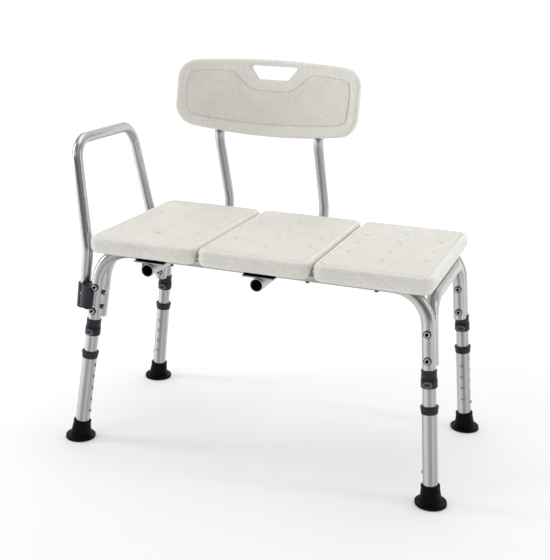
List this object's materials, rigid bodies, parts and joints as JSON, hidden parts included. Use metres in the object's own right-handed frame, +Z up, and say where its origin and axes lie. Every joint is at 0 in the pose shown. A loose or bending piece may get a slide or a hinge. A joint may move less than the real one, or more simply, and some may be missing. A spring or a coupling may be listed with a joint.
{
  "type": "bath transfer bench",
  "caption": "Bath transfer bench with a panelled plastic seat, curved backrest, lift-off armrest and telescopic splayed legs with rubber boots.",
  "frame": {"origin": "on the floor, midway between the four feet and under the middle of the seat", "axes": "+X along the bench from the armrest end to the open end, +Y from the front of the seat to the backrest, +Z up"},
  "size_m": [0.8151, 0.4656, 0.7612],
  "materials": {
    "frame_aluminium": "satin anodised",
    "seat_plastic": "fine moulded grain",
    "dark_plastic": "fine moulded grain",
    "boot_rubber": "matte",
    "clip_brass": "plated",
    "fastener_steel": "plated"
  },
  "bodies": {
    "frame": {"front_left_frame_tube": "frame_aluminium", "front_left_release_ring": "dark_plastic", "front_right_frame_tube": "frame_aluminium", "front_right_release_ring": "dark_plastic", "rear_left_frame_tube": "frame_aluminium", "rear_left_release_ring": "dark_plastic", "rear_right_frame_tube": "frame_aluminium", "rear_right_release_ring": "dark_plastic", "left_cross_tube": "frame_aluminium", "right_cross_tube": "frame_aluminium", "frame_bolts": "fastener_steel", "saddle_washers": "fastener_steel", "frame_nuts": "fastener_steel", "bracket_bolts": "fastener_steel", "pan_head_screws": "fastener_steel", "left_seat_panel": "seat_plastic", "middle_seat_panel": "seat_plastic", "right_seat_panel": "seat_plastic", "left_backrest_receiver": "frame_aluminium", "right_backrest_receiver": "frame_aluminium", "leg_sleeves": "dark_plastic", "front_armrest_bracket": "dark_plastic", "rear_armrest_bracket": "dark_plastic"},
    "front_left_leg": {"front_left_middle_tube": "frame_aluminium", "front_left_latch_clip": "clip_brass"},
    "front_left_foot": {"front_left_lower_tube": "frame_aluminium", "front_left_collar": "dark_plastic", "front_left_boot": "boot_rubber"},
    "front_left_release": {"front_left_release_button": "dark_plastic"},
    "front_left_height_pin": {"front_left_height_clip": "clip_brass"},
    "front_right_leg": {"front_right_middle_tube": "frame_aluminium", "front_right_latch_clip": "clip_brass"},
    "front_right_foot": {"front_right_lower_tube": "frame_aluminium", "front_right_collar": "dark_plastic", "front_right_boot": "boot_rubber"},
    "front_right_release": {"front_right_release_button": "dark_plastic"},
    "front_right_height_pin": {"front_right_height_clip": "clip_brass"},
    "rear_left_leg": {"rear_left_middle_tube": "frame_aluminium", "rear_left_latch_clip": "clip_brass"},
    "rear_left_foot": {"rear_left_lower_tube": "frame_aluminium", "rear_left_collar": "dark_plastic", "rear_left_boot": "boot_rubber"},
    "rear_left_release": {"rear_left_release_button": "dark_plastic"},
    "rear_left_height_pin": {"rear_left_height_clip": "clip_brass"},
    "rear_right_leg": {"rear_right_middle_tube": "frame_aluminium", "rear_right_latch_clip": "clip_brass"},
    "rear_right_foot": {"rear_right_lower_tube": "frame_aluminium", "rear_right_collar": "dark_plastic", "rear_right_boot": "boot_rubber"},
    "rear_right_release": {"rear_right_release_button": "dark_plastic"},
    "rear_right_height_pin": {"rear_right_height_clip": "clip_brass"},
    "armrest": {"armrest_tube": "frame_aluminium"},
    "front_armrest_pin": {"front_armrest_clip": "clip_brass"},
    "rear_armrest_pin": {"rear_armrest_clip": "clip_brass"},
    "backrest": {"backrest_panel": "seat_plastic", "left_backrest_post": "frame_aluminium", "right_backrest_post": "frame_aluminium", "backrest_screws": "fastener_steel"},
    "left_backrest_pin": {"left_backrest_clip": "clip_brass"},
    "right_backrest_pin": {"right_backrest_clip": "clip_brass"}
  },
  "joints": [
    {"name": "front_left_leg_pull", "type": "slide", "parent": "frame", "child": "front_left_leg", "axis": [-0.1146, -0.0488, -0.9922], "range_m": [0, 0.046], "deforming": ["front_left_latch_clip"]},
    {"name": "front_left_release_press", "type": "slide", "parent": "frame", "child": "front_left_release", "axis": [-0.0056, 0.9988, -0.0484], "range_m": [0, 0.0022], "stiffness_N_per_m": 900, "springref_m": -0.002},
    {"name": "front_left_height", "type": "slide", "parent": "front_left_leg", "child": "front_left_foot", "axis": [-0.1146, -0.0488, -0.9922], "range_m": [0, 0.1016], "deforming": ["front_left_height_clip"]},
    {"name": "front_left_height_press", "type": "slide", "parent": "front_left_leg", "child": "front_left_height_pin", "axis": [-0.9934, 0, 0.1147], "range_m": [0, 0.004], "stiffness_N_per_m": 900, "springref_m": -0.002},
    {"name": "front_right_leg_pull", "type": "slide", "parent": "frame", "child": "front_right_leg", "axis": [0.0953, -0.0489, -0.9943], "range_m": [0, 0.046], "deforming": ["front_right_latch_clip"]},
    {"name": "front_right_release_press", "type": "slide", "parent": "frame", "child": "front_right_release", "axis": [0.0047, 0.9988, -0.0486], "range_m": [0, 0.0022], "stiffness_N_per_m": 900, "springref_m": -0.002},
    {"name": "front_right_height", "type": "slide", "parent": "front_right_leg", "child": "front_right_foot", "axis": [0.0953, -0.0489, -0.9943], "range_m": [0, 0.1016], "deforming": ["front_right_height_clip"]},
    {"name": "front_right_height_press", "type": "slide", "parent": "front_right_leg", "child": "front_right_height_pin", "axis": [0.9954, 0, 0.0954], "range_m": [0, 0.004], "stiffness_N_per_m": 900, "springref_m": -0.002},
    {"name": "rear_left_leg_pull", "type": "slide", "parent": "frame", "child": "rear_left_leg", "axis": [-0.0953, 0.0489, -0.9943], "range_m": [0, 0.046], "deforming": ["rear_left_latch_clip"]},
    {"name": "rear_left_release_press", "type": "slide", "parent": "frame", "child": "rear_left_release", "axis": [0.0047, 0.9988, 0.0486], "range_m": [0, 0.0022], "stiffness_N_per_m": 900, "springref_m": -0.002},
    {"name": "rear_left_height", "type": "slide", "parent": "rear_left_leg", "child": "rear_left_foot", "axis": [-0.0953, 0.0489, -0.9943], "range_m": [0, 0.1016], "deforming": ["rear_left_height_clip"]},
    {"name": "rear_left_height_press", "type": "slide", "parent": "rear_left_leg", "child": "rear_left_height_pin", "axis": [0.9954, 0, -0.0954], "range_m": [0, 0.004], "stiffness_N_per_m": 900, "springref_m": -0.002},
    {"name": "rear_right_leg_pull", "type": "slide", "parent": "frame", "child": "rear_right_leg", "axis": [0.0953, 0.0489, -0.9943], "range_m": [0, 0.046], "deforming": ["rear_right_latch_clip"]},
    {"name": "rear_right_release_press", "type": "slide", "parent": "frame", "child": "rear_right_release", "axis": [-0.0047, 0.9988, 0.0486], "range_m": [0, 0.0022], "stiffness_N_per_m": 900, "springref_m": -0.002},
    {"name": "rear_right_height", "type": "slide", "parent": "rear_right_leg", "child": "rear_right_foot", "axis": [0.0953, 0.0489, -0.9943], "range_m": [0, 0.1016], "deforming": ["rear_right_height_clip"]},
    {"name": "rear_right_height_press", "type": "slide", "parent": "rear_right_leg", "child": "rear_right_height_pin", "axis": [-0.9954, 0, -0.0954], "range_m": [0, 0.004], "stiffness_N_per_m": 900, "springref_m": -0.002},
    {"name": "armrest_lift", "type": "slide", "parent": "frame", "child": "armrest", "axis": [0.0954, 0, 0.9954], "range_m": [0, 0.056], "deforming": ["front_armrest_clip", "rear_armrest_clip"]},
    {"name": "front_armrest_press", "type": "slide", "parent": "armrest", "child": "front_armrest_pin", "axis": [0, 1, 0], "range_m": [0, 0.0052], "stiffness_N_per_m": 900, "springref_m": -0.002},
    {"name": "rear_armrest_press", "type": "slide", "parent": "armrest", "child": "rear_armrest_pin", "axis": [0, 1, 0], "range_m": [0, 0.0052], "stiffness_N_per_m": 900, "springref_m": -0.002},
    {"name": "backrest_pull", "type": "slide", "parent": "frame", "child": "backrest", "axis": [0, 1, 0], "range_m": [0, 0.172], "deforming": ["left_backrest_clip", "right_backrest_clip"]},
    {"name": "left_backrest_press", "type": "slide", "parent": "backrest", "child": "left_backrest_pin", "axis": [0, 0, 1], "range_m": [0, 0.0038], "stiffness_N_per_m": 900, "springref_m": -0.002},
    {"name": "right_backrest_press", "type": "slide", "parent": "backrest", "child": "right_backrest_pin", "axis": [0, 0, 1], "range_m": [0, 0.0038], "stiffness_N_per_m": 900, "springref_m": -0.002}
  ]
}
